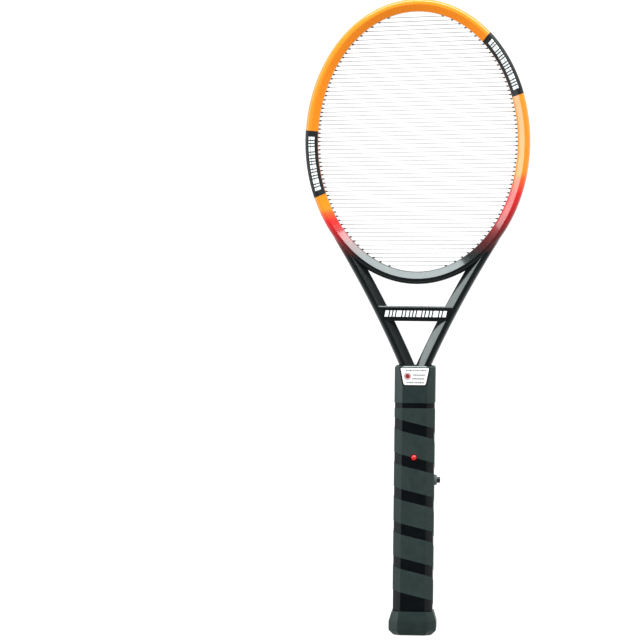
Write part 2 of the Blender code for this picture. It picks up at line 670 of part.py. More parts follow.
def electronics():
    """The step-up board with its lamp, transformer, capacitor, diodes, resistors and transistor."""
    x0, x1, s0, s1, d0, d1 = BOARD
    board = box("circuit_board", (x0, s0, d0), (x1, s1, d1))
    for number, (x, s) in BOARD_SCREWS.items():
        cut(board, turned(f"board_hole_{number}", "d", (x, s, 0), [(d0 - 1, 1.3), (d1 + 1, 1.3)], 12))
        profile = [(d0 - 1.7, 1.6), (d0 - GAP, 2.0), (d0 - GAP, 0.7), (11.6, 0.7)]
        piece(turned(f"board_screw_{number}", "d", (x, s, 0), profile, 12), STEEL, METAL)
    piece(board, GREEN, PLASTIC)
    profile = [(d1 + GAP, 2.2), (d1 + GAP + 5.4, 2.2), (17.2, LAMP_RADIUS), (18.4, LAMP_RADIUS), (19.3, 1.9),
               (19.8, 0.9)]
    lamp = turned("indicator_lamp", "d", (0, LAMP_AT, 0), profile, 20)
    piece(lamp, (0.9, 0.02, 0.02), {"roughness": 0.15, "metallic": 0.0})
    under = d0 - GAP
    core = box("transformer_core", (-8.0, 160.0, under - 14.0), (8.0, 173.0, under))
    cut(core, box("core_window", (-5.2, 158.0, under - 11.0), (5.2, 175.0, under - 3.0)))
    piece(core, (0.04, 0.04, 0.045), PLASTIC)
    winding = turned("transformer_winding", "s", (0, 0, under - 7.0), [(157.5, 3.6), (175.5, 3.6)], 20)
    piece(winding, (0.55, 0.25, 0.08), PLASTIC)
    capacitor = box("hv_capacitor", (-9.0, 179.0, under - 12.0), (1.0, 195.5, under))
    piece(capacitor, (0.45, 0.12, 0.04), PLASTIC)
    piece(box("power_transistor", (5.0, 149.5, under - 9.0), (9.5, 157.0, under)), BLACK, PLASTIC)
    for number in (1, 2, 3):
        place = (3.6 + 2.9 * number, 178.0, under - 1.5)
        diode = turned(f"rectifier_diode_{number}", "s", place, [(0, 0.9), (0.5, 1.2), (4.9, 1.2), (5.4, 0.9)], 10)
        piece(diode, BLACK, PLASTIC)
    for number in (1, 2):
        place = (-6.5 + 3.6 * number, 150.0, under - 1.4)
        resistor = turned(f"resistor_{number}", "s", place, [(0, 0.8), (0.7, 1.1), (5.3, 1.1), (6.0, 0.8)], 10)
        piece(resistor, (0.6, 0.45, 0.3), PLASTIC)
    for number, x, s in ((1, 1.4, 137.0), (2, -1.4, 132.5)):
        route = [(x, 146.8, under - 1.0), (x, 143.5, -0.5), (x + 0.2, s + 4.0, -2.2), (x + 1.0, s + 1.2, -2.6),
                 (3.6, s, -2.6)]
        piece(tube(f"switch_lead_{number}", smooth_route(route, 2), 0.6), (0.7, 0.05, 0.05), PLASTIC)


head_frame()
wire_grid()
leads()
handle()
tape()
battery_cap()
cells()
switch()
electronics()
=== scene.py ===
"""The looks of the electric fly swatter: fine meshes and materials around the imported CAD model.

Sizes are millimetres in the racket's own frame, as in the CAD: x across, s along from the butt, d towards
the front face, with d = 0 on the plane where the halves meet. world() turns them into the model's metres.
"""

import math

import bmesh
import bpy
from mathutils import Matrix, Vector

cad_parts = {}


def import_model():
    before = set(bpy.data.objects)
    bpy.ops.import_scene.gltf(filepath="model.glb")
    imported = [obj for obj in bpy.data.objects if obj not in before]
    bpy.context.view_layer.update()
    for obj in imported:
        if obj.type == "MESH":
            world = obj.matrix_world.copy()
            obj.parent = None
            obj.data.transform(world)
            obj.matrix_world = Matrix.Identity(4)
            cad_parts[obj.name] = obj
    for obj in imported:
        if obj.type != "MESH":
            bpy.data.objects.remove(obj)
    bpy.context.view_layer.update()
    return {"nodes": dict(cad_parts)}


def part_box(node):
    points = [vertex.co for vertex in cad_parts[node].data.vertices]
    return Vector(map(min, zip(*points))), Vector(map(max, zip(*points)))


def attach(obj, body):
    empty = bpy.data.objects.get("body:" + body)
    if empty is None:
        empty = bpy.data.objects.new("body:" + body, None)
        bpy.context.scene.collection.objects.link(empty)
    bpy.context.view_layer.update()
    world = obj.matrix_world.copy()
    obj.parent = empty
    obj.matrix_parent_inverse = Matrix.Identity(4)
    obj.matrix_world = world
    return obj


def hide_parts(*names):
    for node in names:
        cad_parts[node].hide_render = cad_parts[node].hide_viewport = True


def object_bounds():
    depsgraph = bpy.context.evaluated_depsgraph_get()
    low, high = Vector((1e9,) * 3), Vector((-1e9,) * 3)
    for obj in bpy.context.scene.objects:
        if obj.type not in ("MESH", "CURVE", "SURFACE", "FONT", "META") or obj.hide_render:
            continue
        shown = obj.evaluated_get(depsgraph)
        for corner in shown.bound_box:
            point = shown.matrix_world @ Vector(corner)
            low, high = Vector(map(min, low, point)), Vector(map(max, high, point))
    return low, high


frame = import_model()

MM = 0.001
LOW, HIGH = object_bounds()
BUTT = LOW.y
PARTING = (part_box("frame_front_shell")[0].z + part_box("frame_rear_shell")[1].z) / 2
SEAM = 0.06                  # half the gap between two halves that meet

# Head ring: two ellipses about one centre, the second RING_WIDTH outside the first
INNER_X, INNER_S, RING_WIDTH = 86.3, 112.3, 11.0
HEAD_CENTRE = (HIGH.y - BUTT) / MM - INNER_S - RING_WIDTH
RING_STEPS = 384
RING_SECTION = [(0.0, 0.55), (0.0, 5.3), (6.2, 10.5), (9.0, 9.85), (10.5, 8.1), (11.0, 5.5), (11.0, SEAM)]
RING_RADII = [0.0, 1.5, 0.8, 2.0, 2.0, 2.5, 0.25]
RING_CAVITY = [(9.0, SEAM), (9.0, 6.2), (7.2, 8.2), (5.9, 8.2), (1.9, 4.9), (1.9, 0.55)]
RIDGE = 10.5

# Wire grid
WIRE_RADIUS, WIRE_ROWS, TOP_ROW, BOTTOM_ROW = 0.3, 60, 534.5, 319.4
TURNS = {"a": 6.6, "b": 4.5}
DROP_B = 2.0
FAN = (0.0220, 0.000155)     # the rows' rise to the right at FAN_FROM, and its growth per mm
FAN_FROM = 359.0

# Throat
STRUT_FOOT = (14.3, 234.0, 0.44)     # half width, place along, slope
STRUT_HEAD = (76.2, 350.0, 0.627)
STRUT_WIDTH = 13.5
BRIDGE_LOW, BRIDGE_HIGH = 271.6, 284.5
CROTCH = 233.8               # lowest point of the gap between the struts
TANG_HALF, TANG_END = 13.4, 208.0
BADGE_X, BADGE_LOW, BADGE_HIGH = 29.7, 273.1, 283.0

# Handle, tape and cap
HANDLE_X, HANDLE_D, CHAMFER = 17.55, 18.0, 6.85
HANDLE_FOOT, HANDLE_TOP = 21.0, 233.0
GROOVE_LOW, GROOVE_HIGH = 196.8, 201.1
RECESS, INNER_WALL = 0.45, 2.7       # how far the taped part and the inside wall lie in
TAPE_INNER, TAPE_THICK, TAPE_WIDTH, TAPE_PITCH = 0.42, 0.27, 20.3, 29.8
TAPE_FIRST_LOW, TAPE_TURNS, TAPE_FOOT = 186.2, 5.6, 21.6
LABEL_LOW, LABEL_HIGH = 216.3, 232.0
TOP_BEVEL = (0.8, 1.0)               # the front facet's bevel at the top: depth and length
CAP_X, CAP_D, CAP_CHAMFER, CAP_TOP, SPIGOT_TOP = 20.6, 19.5, 7.6, 20.6, 24.2
CAP_SCREW_AT = -11.2
HANDLE_SCREWS = {1: (0.0, 221.0), 2: (-7.0, 136.5), 3: (7.0, 144.0), 4: (0.0, 204.0)}
BRIDGE_SCREW_X = 14.5
BUTTON_AT, BUTTON_RADIUS, BUTTON_END = 134.0, 2.6, 22.55
LAMP_AT, LAMP_RADIUS = 154.0, 2.5
CELL_RADIUS, CELL_LENGTH, CELL_FOOT, CELL_GAP = 13.1, 50.0, 24.6, 0.3


# ---------------------------------------------------------------- shapes

def world(x, s, d):
    """A point of the racket's frame in the model's metres."""
    return Vector((x * MM, BUTT + s * MM, PARTING + d * MM))


def mesh_object(name, bm):
    """An object from a bmesh in the racket's millimetres."""
    for vert in bm.verts:
        vert.co = world(*vert.co)
    bmesh.ops.recalc_face_normals(bm, faces=bm.faces)
    mesh = bpy.data.meshes.new(name)
    bm.to_mesh(mesh)
    bm.free()
    obj = bpy.data.objects.new(name, mesh)
    bpy.context.scene.collection.objects.link(obj)
    return obj


def add_loft(bm, rings, closed=False):
    """Add a skin over rings of equally many points: capped at both ends, or closed on itself."""
    verts = [[bm.verts.new(point) for point in ring] for ring in rings]
    count = len(rings[0])
    pairs = list(zip(verts, verts[1:]))
    if closed:
        pairs.append((verts[-1], verts[0]))
    for ring, following in pairs:
        for k in range(count):
            bm.faces.new((ring[k], ring[(k + 1) % count], following[(k + 1) % count], following[k]))
    if not closed:
        bm.faces.new(verts[0])
        bm.faces.new(reversed(verts[-1]))


def loft(name, rings, closed=False):
    """One skin as an object."""
    bm = bmesh.new()
    add_loft(bm, rings, closed)
    return mesh_object(name, bm)


def lofts(name, skins):
    """Several separate capped skins as one object."""
    bm = bmesh.new()
    for rings in skins:
        add_loft(bm, rings)
    return mesh_object(name, bm)


def rounded(points, radii, steps=4, closed=False):
    """A flat outline with each corner turned into an arc of its radius; 0 leaves a corner sharp."""
    made = []
    count = len(points)
    for k, (point, radius) in enumerate(zip(points, radii)):
        here = Vector(point)
        if radius == 0 or (not closed and k in (0, count - 1)):
            made.append(here)
            continue
        back = (Vector(points[k - 1]) - here).normalized()
        ahead = (Vector(points[(k + 1) % count]) - here).normalized()
        half = back.angle(ahead) / 2
        centre = here + (back + ahead).normalized() * radius / math.sin(half)
        start = here + back * radius / math.tan(half) - centre
        stop = here + ahead * radius / math.tan(half) - centre
        turn = math.pi - 2 * half
        for j in range(steps + 1):
            t = j / steps
            mixed = start * math.sin((1 - t) * turn) + stop * math.sin(t * turn)
            made.append(centre + mixed / math.sin(turn))
    return made


def axis_matrix(axis):
    """The turn that takes +Z to the axis x, s or d."""
    return {"x": Matrix.Rotation(math.pi / 2, 3, "Y"), "s": Matrix.Rotation(-math.pi / 2, 3, "X"),
            "d": Matrix.Identity(3)}[axis]


def circle(axis, centre, along, radius, sides):
    """Points of a circle about an axis through centre."""
    turn = axis_matrix(axis)
    angles = [2 * math.pi * k / sides for k in range(sides)]
    flat = [Vector((radius * math.cos(a), radius * math.sin(a), along)) for a in angles]
    return [turn @ point + Vector(centre) for point in flat]


def turned(name, axis, centre, profile, sides=40):
    """A turned solid from (distance along, radius) pairs, with closed ends."""
    return loft(name, [circle(axis, centre, along, radius, sides) for along, radius in profile])


def turned_ring(name, axis, centre, section, sides=48):
    """A ring turned from a closed section of (distance along, radius) pairs."""
    columns = [circle(axis, centre, along, radius, sides) for along, radius in section]
    return loft(name, [list(ring) for ring in zip(*columns)], closed=True)


def block(name, low, high):
    """A box between two corners."""
    (x0, s0, d0), (x1, s1, d1) = low, high
    return loft(name, [[(x0, s0, d), (x1, s0, d), (x1, s1, d), (x0, s1, d)] for d in (d0, d1)])


def sided_block(name, xs, ss, ds, side):
    """A box between pairs of x, s and d; side -1 mirrors it to the back."""
    low, high = sorted(side * depth for depth in ds)
    return block(name, (xs[0], ss[0], low), (xs[1], ss[1], high))


def prism_rings(outline, low, high):
    """Two rings of a flat outline in x and s, at two depths."""
    return [[(x, s, depth) for x, s in outline] for depth in (low, high)]


def boolean(obj, tools, operation="DIFFERENCE"):
    """Cut obj with the tools, or join them to it, and keep the result as its mesh."""
    for tool in tools:
        modifier = obj.modifiers.new(tool.name, "BOOLEAN")
        modifier.operation = operation
        modifier.object = tool
        modifier.solver = "MANIFOLD"
    evaluated = obj.evaluated_get(bpy.context.evaluated_depsgraph_get())
    mesh = bpy.data.meshes.new_from_object(evaluated)
    obj.modifiers.clear()
    obj.data = mesh
    for tool in tools:
        bpy.data.objects.remove(tool, do_unlink=True)
    return obj


def tube_rings(points, radius, sides=8):
    """Rings of a tube along points, without twist."""
    points = [Vector(p) for p in points]
    rings = []
    side = None
    for k, point in enumerate(points):
        ahead = points[min(k + 1, len(points) - 1)] - points[max(k - 1, 0)]
        ahead.normalize()
        if side is None:
            side = ahead.orthogonal().normalized()
        side = (side - ahead * side.dot(ahead)).normalized()
        up = ahead.cross(side)
        angles = [2 * math.pi * j / sides for j in range(sides)]
        rings.append([point + (side * math.cos(a) + up * math.sin(a)) * radius for a in angles])
    return rings


def spread(low, high, count):
    """Evenly spaced values from low to high."""
    return [low + (high - low) * k / (count - 1) for k in range(count)]


def smooth_step(low, high, value):
    """0 below low, 1 above high, with a smooth change between."""
    t = min(max((value - low) / (high - low), 0.0), 1.0)
    return t * t * (3 - 2 * t)


def finish(obj, body, materials, replaced=(), sharp=38):
    """Shade a piece, give it its materials, and say what it rides on and stands for."""
    obj.data.materials.clear()
    for material in materials if isinstance(materials, (list, tuple)) else [materials]:
        obj.data.materials.append(material)
    obj.data.shade_smooth()
    obj.data.set_sharp_from_angle(angle=math.radians(sharp))
    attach(obj, body)
    if replaced:
        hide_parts(*replaced)
    return obj


# ---------------------------------------------------------------- materials

class Nodes:
    """A material's node tree, with short ways to add and link nodes."""

    def __init__(self, name):
        self.material = bpy.data.materials.new(name)
        self.material.use_nodes = True
        self.tree = self.material.node_tree
        self.shader = self.tree.nodes["Principled BSDF"]
        self.place = self.add("ShaderNodeTexCoord").outputs["Object"]

    def add(self, kind, **values):
        """A node; values are its sockets, or its own properties where it has no such socket."""
        node = self.tree.nodes.new(kind)
        for key, value in values.items():
            label = key.replace("_", " ").title() if key.replace("_", " ").title() in node.inputs else None
            if label:
                node.inputs[label].default_value = value
            else:
                setattr(node, key, value)
        return node

    def link(self, source, target):
        """Join an output to an input."""
        self.tree.links.new(source, target)

    def noise(self, size, detail=2.0, roughness=0.5, stretch=(1, 1, 1)):
        """Noise with features of about size millimetres, stretched by factors along the axes."""
        mapping = self.add("ShaderNodeMapping")
        mapping.inputs["Scale"].default_value = [1 / (size * MM * factor) for factor in stretch]
        self.link(self.place, mapping.inputs["Vector"])
        node = self.add("ShaderNodeTexNoise", scale=1.0, detail=detail, roughness=roughness)
        self.link(mapping.outputs[0], node.inputs["Vector"])
        return node.outputs["Fac"]

    def math(self, operation, a, b=0.0):
        """A Math node on numbers or outputs."""
        node = self.add("ShaderNodeMath")
        node.operation = operation
        for socket, value in zip(node.inputs, (a, b)):
            if isinstance(value, (int, float)):
                socket.default_value = value
            else:
                self.link(value, socket)
        return node.outputs[0]

    def ramp(self, factor, stops, interpolation="LINEAR"):
        """A colour ramp of (position, colour) stops."""
        node = self.add("ShaderNodeValToRGB")
        node.color_ramp.interpolation = interpolation
        elements = node.color_ramp.elements
        while len(elements) < len(stops):
            elements.new(0.5)
        for element, (position, colour) in zip(elements, stops):
            element.position = position
            element.color = (*colour, 1.0)
        self.link(factor, node.inputs["Fac"])
        return node.outputs["Color"]

    def along(self):
        """The distance along the racket in millimetres."""
        split = self.add("ShaderNodeSeparateXYZ")
        self.link(self.place, split.inputs[0])
        return self.math("MULTIPLY", self.math("SUBTRACT", split.outputs["Y"], BUTT), 1 / MM), split

    def bump(self, height, depth, strength=1.0):
        """Raise the surface by a height pattern of this many millimetres."""
        node = self.add("ShaderNodeBump", strength=strength, distance=depth * MM)
        self.link(height, node.inputs["Height"])
        self.link(node.outputs[0], self.shader.inputs["Normal"])

    def vary_roughness(self, middle, swing, pattern):
        """Roughness that swings about its middle value with a pattern."""
        node = self.add("ShaderNodeMapRange")
        node.inputs["From Min"].default_value = 0.3
        node.inputs["From Max"].default_value = 0.7
        node.inputs["To Min"].default_value = middle - swing
        node.inputs["To Max"].default_value = middle + swing
        self.link(pattern, node.inputs["Value"])
        self.link(node.outputs[0], self.shader.inputs["Roughness"])

    def settings(self, **values):
        """Even values on the shader's own sockets."""
        for key, value in values.items():
            self.shader.inputs[key.replace("_", " ").title()].default_value = value


def shade(colour, factor):
    """A colour made lighter or darker."""
    return tuple(min(channel * factor, 1.0) for channel in colour)


def surface(name, colour, roughness, metallic=0.0, mottle=0.08, patch=9.0, grain=0.02, grain_size=0.5,
            coat=0.0, shine=0.5):
    """A moulded, painted or metal surface: faint patches of colour and gloss over a fine grain."""
    nodes = Nodes(name)
    patches = nodes.noise(patch, detail=3.0)
    stops = [(0.3, shade(colour, 1 - mottle)), (0.7, shade(colour, 1 + mottle))]
    nodes.link(nodes.ramp(patches, stops), nodes.shader.inputs["Base Color"])
    nodes.vary_roughness(roughness, roughness * 0.15, patches)
    nodes.bump(nodes.noise(grain_size, detail=3.0, roughness=0.6), grain)
    nodes.settings(metallic=metallic)
    nodes.shader.inputs["Specular IOR Level"].default_value = shine
    nodes.shader.inputs["Coat Weight"].default_value = coat
    nodes.shader.inputs["Coat Roughness"].default_value = 0.06
    return nodes.material


FADE_COLOURS = [(0.0, (0.006, 0.008, 0.008)), (0.25, (0.13, 0.012, 0.014)), (0.5, (0.47, 0.008, 0.012)),
                (0.75, (0.76, 0.018, 0.014)), (0.92, (0.93, 0.12, 0.02)), (1.0, (1.0, 0.275, 0.008))]


def fade_paint():
    """The frame's paint: black at the throat, through dark red and red to orange, higher on the right."""
    nodes = Nodes("frame_paint")
    along, split = nodes.along()
    across = nodes.math("MULTIPLY", split.outputs["X"], 1 / MM)
    start = nodes.math("ADD", nodes.math("MULTIPLY", across, 0.04), 328.0)
    end = nodes.math("ADD", nodes.math("MULTIPLY", across, 0.20), 383.0)
    fade = nodes.math("DIVIDE", nodes.math("SUBTRACT", along, start), nodes.math("SUBTRACT", end, start))
    spray = nodes.math("MULTIPLY", nodes.math("SUBTRACT", nodes.noise(0.7, detail=4.0), 0.5), 0.10)
    nodes.link(nodes.ramp(nodes.math("ADD", fade, spray), FADE_COLOURS), nodes.shader.inputs["Base Color"])
    nodes.vary_roughness(0.24, 0.04, nodes.noise(6.0))
    nodes.bump(nodes.noise(1.1, detail=2.0), 0.006)
    nodes.shader.inputs["Coat Weight"].default_value = 1.0
    nodes.shader.inputs["Coat Roughness"].default_value = 0.07
    return nodes.material


def woven_tape():
    """Grip tape: a fine diagonal weave with a dull sheen."""
    nodes = Nodes("grip_tape")
    threads = []
    for tilt in (-1, 1):
        mapping = nodes.add("ShaderNodeMapping")
        mapping.inputs["Scale"].default_value = (tilt / MM, 1 / MM, tilt / MM)
        nodes.link(nodes.place, mapping.inputs["Vector"])
        wave = nodes.add("ShaderNodeTexWave", scale=0.30, distortion=0.6, detail=1.0)
        wave.bands_direction = "DIAGONAL"
        nodes.link(mapping.outputs[0], wave.inputs["Vector"])
        threads.append(wave.outputs["Fac"])
    weave = nodes.math("MAXIMUM", *threads)
    patches = nodes.noise(7.0, detail=4.0)
    tone = nodes.math("ADD", nodes.math("MULTIPLY", weave, 0.35), nodes.math("MULTIPLY", patches, 0.65))
    stops = [(0.25, (0.006, 0.016, 0.014)), (0.85, (0.018, 0.034, 0.030))]
    nodes.link(nodes.ramp(tone, stops), nodes.shader.inputs["Base Color"])
    nodes.vary_roughness(0.66, 0.08, patches)
    nodes.bump(nodes.math("ADD", weave, nodes.math("MULTIPLY", nodes.noise(0.3), 0.6)), 0.05)
    nodes.shader.inputs["Specular IOR Level"].default_value = 0.5
    return nodes.material


def banded(name, bands, roughness, metallic=0.0):
    """A surface whose colour changes along the racket at (place in mm, colour) steps."""
    nodes = Nodes(name)
    along, _ = nodes.along()
    low, high = bands[0][0], bands[-1][0]
    factor = nodes.math("DIVIDE", nodes.math("SUBTRACT", along, low), high - low)
    stops = [((place - low) / (high - low), colour) for place, colour in bands]
    nodes.link(nodes.ramp(factor, stops, "CONSTANT"), nodes.shader.inputs["Base Color"])
    nodes.vary_roughness(roughness, roughness * 0.2, nodes.noise(5.0))
    nodes.bump(nodes.noise(0.8), 0.01)
    nodes.settings(metallic=metallic)
    return nodes.material


def lamp_plastic():
    """Clear red lamp plastic."""
    nodes = Nodes("lamp_red")
    swirl = nodes.noise(1.5)
    stops = [(0.3, (0.62, 0.006, 0.008)), (0.7, (0.86, 0.02, 0.02))]
    nodes.link(nodes.ramp(swirl, stops), nodes.shader.inputs["Base Color"])
    nodes.vary_roughness(0.10, 0.03, swirl)
    nodes.shader.inputs["Subsurface Weight"].default_value = 0.35
    nodes.shader.inputs["Subsurface Scale"].default_value = 0.001
    nodes.shader.inputs["Coat Weight"].default_value = 1.0
    return nodes.material


PAINT = fade_paint()
TAPE = woven_tape()
LAMP = lamp_plastic()
# The badge's own gloss black; round the handle's label the same black paints the shade in the label's gap
BADGE_BLACK_AND_GAP_SHADE = surface("badge_black", (0.006, 0.007, 0.008), 0.22, coat=0.6)
RING_BLACK = surface("ring_label_black", (0.006, 0.008, 0.008), 0.5, grain=0.01)
MARK_WHITE = surface("mark_white", (0.90, 0.92, 0.92), 0.5, mottle=0.03, grain=0.005)
LABEL_WHITE = surface("label_white", (0.93, 0.94, 0.92), 0.42, mottle=0.02, grain=0.01)
LABEL_INK = surface("label_ink", (0.10, 0.11, 0.10), 0.5)
SIGN_RED = surface("sign_red", (0.30, 0.010, 0.016), 0.45)
HANDLE_GREY = surface("handle_grey", (0.013, 0.026, 0.024), 0.42, grain=0.04, grain_size=0.45, shine=0.5)
HANDLE_BLACK = surface("handle_black", (0.002, 0.003, 0.004), 0.34, grain=0.015, shine=0.3)
# Lighter than the handle's grey, for the top bevel: painted highlight along the handle's top edge, over a
# real gloss coat
HANDLE_EDGE_HIGHLIGHT = surface("handle_edge_painted_highlight", (0.05, 0.06, 0.06), 0.18, grain=0.0, coat=1.0, shine=0.8)
CAP_GREY = surface("cap_grey", (0.014, 0.026, 0.023), 0.40, grain=0.05, grain_size=0.5, shine=0.35)
STEEL_WIRE = surface("grid_steel", (0.46, 0.46, 0.46), 0.45, 0.5, grain=0.004, patch=4.0)
SCREW_STEEL = surface("screw_steel", (0.52, 0.52, 0.54), 0.28, 1.0, mottle=0.15, patch=1.2, grain=0.01,
                      grain_size=0.2)
SPRING_STEEL = surface("spring_steel", (0.60, 0.60, 0.62), 0.25, 1.0, grain=0.01, grain_size=0.3)
BRASS = surface("contact_brass", (0.74, 0.54, 0.22), 0.30, 1.0, mottle=0.15, patch=3.0, grain=0.01)
BUTTON_BLACK = surface("button_black", (0.012, 0.013, 0.014), 0.30, grain=0.02)
BEZEL_GREY = surface("bezel_grey", (0.10, 0.125, 0.12), 0.36, grain=0.03)
SWITCH_BLACK = surface("switch_black", (0.015, 0.015, 0.017), 0.45, grain=0.03)
# Dark cones at the wires' ends: painted shadow of the slots in the ring
SLOT_SHADOW_DARK = surface("slot_painted_shadow", (0.030, 0.028, 0.030), 0.5)
BOARD_GREEN = surface("board_green", (0.02, 0.16, 0.06), 0.35, mottle=0.2, patch=3.0, grain=0.03)
FERRITE = surface("ferrite", (0.035, 0.035, 0.038), 0.6, grain=0.06, grain_size=0.3)
COPPER_TONES = ((0.55, 0.22, 0.07), (0.42, 0.16, 0.05))
COPPER = banded("copper", [(157.0 + 0.7 * k, COPPER_TONES[k % 2]) for k in range(28)], 0.3, 0.8)
CAPACITOR = surface("film_capacitor", (0.42, 0.10, 0.03), 0.32, mottle=0.12)
COMPONENT = surface("component_black", (0.014, 0.014, 0.015), 0.4)
TAN = (0.58, 0.42, 0.27)
RESISTOR_BANDS = [(150.0, TAN), (151.4, (0.35, 0.12, 0.04)), (152.0, TAN), (152.7, (0.05, 0.05, 0.05)),
                  (153.3, TAN), (154.0, (0.6, 0.05, 0.03)), (154.6, TAN), (157.0, TAN)]
RESISTOR = banded("resistor_tan", RESISTOR_BANDS, 0.4)
LEAD_RED = surface("lead_red", (0.45, 0.02, 0.02), 0.4, grain=0.01)


# ---------------------------------------------------------------- head and throat

def ellipse(beyond, angle):
    """A point of the ellipse that lies this far beyond the ring's inner edge."""
    return ((INNER_X + beyond) * math.cos(angle), HEAD_CENTRE + (INNER_S + beyond) * math.sin(angle))


def row_end_point(beyond, s, hand):
    """Where a row that crosses the racket's middle at s meets that ellipse, right (1) or left (-1)."""
    rise = FAN[0] + FAN[1] * (s - FAN_FROM)
    wide, tall, up = INNER_X + beyond, INNER_S + beyond, s - HEAD_CENTRE
    a = 1 / wide ** 2 + rise ** 2 / tall ** 2
    b = rise * up / tall ** 2
    c = up ** 2 / tall ** 2 - 1
    x = (-b + hand * math.sqrt(b * b - a * c)) / a
    return x, s + rise * x


def strut_edge(s):
    """Half width of the throat's outer edge at s: one cubic from the handle to the ring."""
    (x0, s0, slope0), (x1, s1, slope1) = STRUT_FOOT, STRUT_HEAD
    span = s1 - s0
    t = (s - s0) / span
    return ((2 * t ** 3 - 3 * t ** 2 + 1) * x0 + (t ** 3 - 2 * t ** 2 + t) * span * slope0
            + (3 * t ** 2 - 2 * t ** 3) * x1 + (t ** 3 - t ** 2) * span * slope1)


def section():
    """The U-shaped section of half the frame, from its inner edge over the ridge and back inside."""
    corners = RING_SECTION + RING_CAVITY
    radii = RING_RADII + [0.0, 0.4, 0.4, 0.4, 0.4, 0.0]
    return rounded(corners, radii, closed=True)


def strut(name, side, hand):
    """Half of one strut: the same section, swept from the tang up along and under the ring's edge."""
    rings = []
    for s in spread(227.0, 349.0, 62):
        edge = strut_edge(s) - 0.5 * smooth_step(338.0, 349.0, s)
        scale = (STRUT_WIDTH - 2.0 * smooth_step(328.0, 349.0, s)) / RING_WIDTH
        height = side * (1.0 - 0.09 * smooth_step(300.0, 340.0, s))
        rings.append([(hand * (edge - (RING_WIDTH - beyond) * scale), s, height * depth + side * 0.02)
                      for beyond, depth in section()])
    return loft(name, rings)


def bridge_bar(name, side):
    """Half of the bar between the struts, as high as their ridges and bevelled along its edges."""
    top = RIDGE - 0.02
    profile = rounded([(0.0, 0.1), (0.0, top - 0.7), (0.9, top), (3.0, top)], [0, 0.2, 0.2, 0], 3)
    rings = []
    for inset, depth in profile[:-1]:
        low, high = BRIDGE_LOW + inset, BRIDGE_HIGH - inset
        left = [(-(strut_edge(s) - 5.4 - inset), s, side * depth) for s in spread(low, high, 6)]
        right = [(-x, s, d) for x, s, d in reversed(left)]
        rings.append(left + right)
    return loft(name, rings)


def frame_half(side):
    """Half of the head's frame as one mesh: ring, struts, bridge and tang."""
    name = "head_frame_front" if side > 0 else "head_frame_rear"
    rings = []
    for k in range(RING_STEPS):
        angle = 2 * math.pi * k / RING_STEPS
        rings.append([(*ellipse(beyond, angle), side * depth) for beyond, depth in section()])
    shell = loft(name, rings, closed=True)
    web = sided_block("web", (-3.2, 3.2), (226.0, CROTCH), (0.12, 3.6), side)
    tang = sided_block("tang", (-TANG_HALF, TANG_HALF), (TANG_END, 232.6), (0.14, 10.3), side)
    channels = [sided_block(f"channel_{hand}", sorted((hand * 4.5, hand * 10.8)), (TANG_END - 1, 229.5),
                            (-1, 8.4), side) for hand in (1, -1)]
    boolean(tang, channels)
    parts = [strut("right_strut", side, 1), strut("left_strut", side, -1), bridge_bar("bar", side), web, tang]
    boolean(shell, parts, "UNION")
    middle = (BRIDGE_LOW + BRIDGE_HIGH) / 2
    if side > 0:
        tools = [block("badge_recess", (-BADGE_X - 0.3, BADGE_LOW - 0.3, RIDGE - 0.8),
                       (BADGE_X + 0.3, BADGE_HIGH + 0.3, RIDGE + 1))]
    else:
        tools = [turned(f"well_{x}", "d", (x, middle, 0), [(-12, 2.9), (-7.1, 2.9)])
                 for x in (-BRIDGE_SCREW_X, BRIDGE_SCREW_X)]
    tools.append(turned("tang_hole", "d", (*HANDLE_SCREWS[1], 0), [(-12, 3.6), (12, 3.6)]))
    boolean(shell, tools)
    node = "frame_front_shell" if side > 0 else "frame_rear_shell"
    return finish(shell, "racket", PAINT, [node])


def ridge_height(beyond):
    """The front's height at a place across the ring, read from its rounded section."""
    outline = rounded(RING_SECTION, RING_RADII)
    for (x0, y0), (x1, y1) in zip(outline, outline[1:]):
        if x0 <= beyond <= x1 and x1 > x0:
            return y0 + (y1 - y0) * (beyond - x0) / (x1 - x0)
    return outline[-1][1]


def ring_patch(turns, across, lift, thick=0.06, steps=(2, 4)):
    """Rings of a thin patch on the front of the ring, between two angles and two places across it."""
    rings = []
    places = spread(*across, steps[1] + 1)
    line = [Vector((beyond, ridge_height(beyond))) for beyond in places]
    normals = []
    for k in range(len(line)):
        along = line[min(k + 1, len(line) - 1)] - line[max(k - 1, 0)]
        normals.append(Vector((-along.y, along.x)).normalized())
    top = [point + normal * lift for point, normal in zip(line, normals)]
    foot = [point + normal * (lift - thick) for point, normal in zip(line, normals)]
    for angle in spread(*turns, steps[0] + 1):
        rings.append([(*ellipse(beyond, angle), depth) for beyond, depth in top + foot[::-1]])
    return rings


RING_LABELS = {"left": (math.radians(175.9), math.radians(203.8)),
               "right": (math.radians(20.4), math.radians(50.6))}
DASHES = (0.9, 0.5, 0.5, 1.3, 0.5, 0.7, 0.5, 0.5, 1.1, 0.5, 0.7, 0.5, 1.3, 0.5, 0.9)
DASH_SPACE = 0.32


def dash_spans(low, high):
    """Start and end of each dash of the pattern, fitted between low and high."""
    total = sum(DASHES) + DASH_SPACE * (len(DASHES) - 1)
    unit = (high - low) / total
    spans = []
    at = low
    for length in DASHES:
        spans.append((at, at + length * unit))
        at += (length + DASH_SPACE) * unit
    return spans


def ring_labels():
    """Two black bands on the ring, each with a plain row of white dashes."""
    for label, (low, high) in RING_LABELS.items():
        band = lofts(f"ring_label_{label}", [ring_patch((low, high), (0.25, 10.85), 0.09, 0.07, (48, 30))])
        finish(band, "racket", RING_BLACK)
        margin = (high - low) * 0.09
        spans = dash_spans(low + margin, high - margin)
        skins = [ring_patch(span, (3.0, 7.9), 0.12, 0.03, (3, 8)) for span in spans]
        finish(lofts(f"ring_marks_{label}", skins), "racket", MARK_WHITE)


